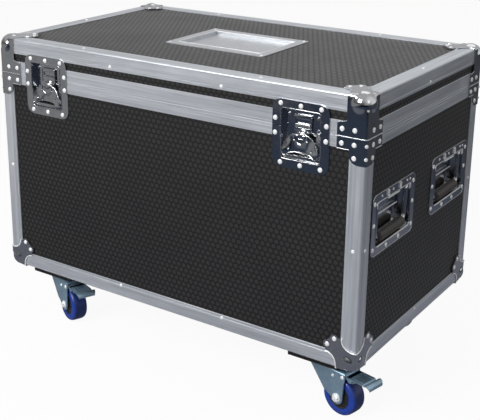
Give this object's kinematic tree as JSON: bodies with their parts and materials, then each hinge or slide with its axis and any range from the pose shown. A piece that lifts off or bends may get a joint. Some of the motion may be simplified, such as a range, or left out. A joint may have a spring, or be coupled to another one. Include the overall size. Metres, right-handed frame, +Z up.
{
  "type": "four-way lighting flight case",
  "caption": "Wheeled road case: black laminate panels in aluminium edging, chrome ball corners, hinged lid, butterfly latches, recessed handles and braked castors.",
  "frame": {"origin": "on the floor under the middle of the whole object's box; the case itself stands 10 mm to -X of it, because the right front brake pedal reaches past the case's end", "axes": "+X along the front, +Y from the front to the back, +Z up"},
  "size_m": [0.8505, 0.5019, 0.622],
  "materials": {
    "laminate": "black laminate with a hexagon pattern on plywood",
    "aluminium": "brushed, satin",
    "chrome": "polished plating on pressed steel",
    "zinc": "bright zinc plating",
    "tyre": "blue elastic tread on a black hub",
    "bail": "plated bar with a dark moulded grip",
    "grip": "dark moulded rubber",
    "hub": "moulded black"
  },
  "bodies": {
    "base": {"floor_panel": "laminate", "front_panel": "laminate", "back_panel": "laminate", "left_panel": "laminate", "right_panel": "laminate", "base_edge_frame": "aluminium", "base_rim": "aluminium", "bottom_corner_front_left": "chrome", "bottom_corner_front_right": "chrome", "bottom_corner_back_right": "chrome", "bottom_corner_back_left": "chrome", "base_brace_front_left": "chrome", "base_brace_front_right": "chrome", "base_brace_back_right": "chrome", "base_brace_back_left": "chrome", "latch_dish_left": "chrome", "latch_dish_right": "chrome", "handle_dish_right_front": "chrome", "handle_dish_right_back": "chrome", "handle_dish_left_front": "chrome", "handle_dish_left_back": "chrome", "castor_plate_front_left": "zinc", "castor_plate_front_right": "zinc", "castor_plate_back_right": "zinc", "castor_plate_back_left": "zinc", "hinge_leaf_base_left": "zinc", "hinge_leaf_base_right": "zinc"},
    "lid": {"lid_top_panel": "laminate", "lid_wall_band": "laminate", "lid_edge_frame": "aluminium", "lid_rim": "aluminium", "label_dish": "chrome", "lid_corner_front_left": "chrome", "lid_corner_front_right": "chrome", "lid_corner_back_right": "chrome", "lid_corner_back_left": "chrome", "latch_strike_left": "chrome", "latch_strike_right": "chrome", "hinge_leaf_lid_left": "zinc", "hinge_leaf_lid_right": "zinc"},
    "latch_spindle_left": {"latch_spindle_left": "chrome"},
    "latch_wing_left": {"latch_wing_left": "chrome"},
    "latch_hook_left": {"latch_hook_left": "chrome"},
    "latch_spindle_right": {"latch_spindle_right": "chrome"},
    "latch_wing_right": {"latch_wing_right": "chrome"},
    "latch_hook_right": {"latch_hook_right": "chrome"},
    "handle_bail_right_front": {"handle_bail_right_front": "bail"},
    "handle_bail_right_back": {"handle_bail_right_back": "bail"},
    "handle_bail_left_front": {"handle_bail_left_front": "bail"},
    "handle_bail_left_back": {"handle_bail_left_back": "bail"},
    "castor_fork_front_left": {"castor_fork_front_left": "zinc"},
    "castor_wheel_front_left": {"castor_wheel_front_left": "tyre"},
    "brake_pedal_front_left": {"brake_pedal_front_left": "zinc"},
    "castor_fork_front_right": {"castor_fork_front_right": "zinc"},
    "castor_wheel_front_right": {"castor_wheel_front_right": "tyre"},
    "brake_pedal_front_right": {"brake_pedal_front_right": "zinc"},
    "castor_fork_back_right": {"castor_fork_back_right": "zinc"},
    "castor_wheel_back_right": {"castor_wheel_back_right": "tyre"},
    "castor_fork_back_left": {"castor_fork_back_left": "zinc"},
    "castor_wheel_back_left": {"castor_wheel_back_left": "tyre"}
  },
  "joints": [
    {"name": "lid_hinge", "type": "hinge", "parent": "base", "child": "lid", "pos_m": [-0.01, 0.2493, 0.544], "axis": [-1, 0, 0], "range_deg": [0, 100]},
    {"name": "latch_turn_left", "type": "hinge", "parent": "base", "child": "latch_spindle_left", "pos_m": [-0.2985, -0.243, 0.531], "axis": [0, -1, 0], "range_deg": [0, 180]},
    {"name": "wing_fold_left", "type": "hinge", "parent": "latch_spindle_left", "child": "latch_wing_left", "pos_m": [-0.2985, -0.2416, 0.531], "axis": [-1, 0, 0], "range_deg": [0, 90]},
    {"name": "hook_slide_left", "type": "slide", "parent": "base", "child": "latch_hook_left", "axis": [0, 0, 1], "range_m": [0, 0.005], "stiffness_N_per_m": 2.261, "springref_m": 0.06},
    {"name": "latch_turn_right", "type": "hinge", "parent": "base", "child": "latch_spindle_right", "pos_m": [0.2785, -0.243, 0.531], "axis": [0, -1, 0], "range_deg": [0, 180]},
    {"name": "wing_fold_right", "type": "hinge", "parent": "latch_spindle_right", "child": "latch_wing_right", "pos_m": [0.2785, -0.2416, 0.531], "axis": [-1, 0, 0], "range_deg": [0, 90]},
    {"name": "hook_slide_right", "type": "slide", "parent": "base", "child": "latch_hook_right", "axis": [0, 0, 1], "range_m": [0, 0.005], "stiffness_N_per_m": 2.261, "springref_m": 0.06},
    {"name": "handle_fold_right_front", "type": "hinge", "parent": "base", "child": "handle_bail_right_front", "pos_m": [0.393, -0.1215, 0.414], "axis": [0, -1, 0], "range_deg": [0, 90], "stiffness_Nm_per_rad": 0.2},
    {"name": "handle_fold_right_back", "type": "hinge", "parent": "base", "child": "handle_bail_right_back", "pos_m": [0.393, 0.1215, 0.414], "axis": [0, -1, 0], "range_deg": [0, 90], "stiffness_Nm_per_rad": 0.2},
    {"name": "handle_fold_left_front", "type": "hinge", "parent": "base", "child": "handle_bail_left_front", "pos_m": [-0.413, -0.1215, 0.414], "axis": [0, 1, 0], "range_deg": [0, 90], "stiffness_Nm_per_rad": 0.2},
    {"name": "handle_fold_left_back", "type": "hinge", "parent": "base", "child": "handle_bail_left_back", "pos_m": [-0.413, 0.1215, 0.414], "axis": [0, 1, 0], "range_deg": [0, 90], "stiffness_Nm_per_rad": 0.2},
    {"name": "swivel_front_left", "type": "hinge", "parent": "base", "child": "castor_fork_front_left", "pos_m": [-0.3365, -0.171, 0.093], "axis": [0, 0, 1], "continuous": true},
    {"name": "wheel_spin_front_left", "type": "hinge", "parent": "castor_fork_front_left", "child": "castor_wheel_front_left", "pos_m": [-0.3052, -0.18429, 0.038], "axis": [0.3907, 0.9205, 0], "continuous": true},
    {"name": "brake_front_left", "type": "hinge", "parent": "castor_fork_front_left", "child": "brake_pedal_front_left", "pos_m": [-0.29416, -0.18897, 0.084], "axis": [0.3907, 0.9205, 0], "range_deg": [0, 12]},
    {"name": "swivel_front_right", "type": "hinge", "parent": "base", "child": "castor_fork_front_right", "pos_m": [0.3165, -0.171, 0.093], "axis": [0, 0, 1], "continuous": true},
    {"name": "wheel_spin_front_right", "type": "hinge", "parent": "castor_fork_front_right", "child": "castor_wheel_front_right", "pos_m": [0.34969, -0.17836, 0.038], "axis": [0.2164, 0.9763, 0], "continuous": true},
    {"name": "brake_front_right", "type": "hinge", "parent": "castor_fork_front_right", "child": "brake_pedal_front_right", "pos_m": [0.36141, -0.18096, 0.084], "axis": [0.2164, 0.9763, 0], "range_deg": [0, 12]},
    {"name": "swivel_back_right", "type": "hinge", "parent": "base", "child": "castor_fork_back_right", "pos_m": [0.3165, 0.171, 0.093], "axis": [0, 0, 1], "continuous": true},
    {"name": "wheel_spin_back_right", "type": "hinge", "parent": "castor_fork_back_right", "child": "castor_wheel_back_right", "pos_m": [0.28455, 0.18263, 0.038], "axis": [-0.342, -0.9397, 0], "continuous": true},
    {"name": "swivel_back_left", "type": "hinge", "parent": "base", "child": "castor_fork_back_left", "pos_m": [-0.3365, 0.171, 0.093], "axis": [0, 0, 1], "continuous": true},
    {"name": "wheel_spin_back_left", "type": "hinge", "parent": "castor_fork_back_left", "child": "castor_wheel_back_left", "pos_m": [-0.36652, 0.18696, 0.038], "axis": [-0.4695, -0.8829, 0], "continuous": true}
  ],
  "couplings": [
    {"joint": "hook_slide_left", "follows": "latch_turn_left", "m_per_rad": 0.00159},
    {"joint": "hook_slide_right", "follows": "latch_turn_right", "m_per_rad": 0.00159}
  ]
}
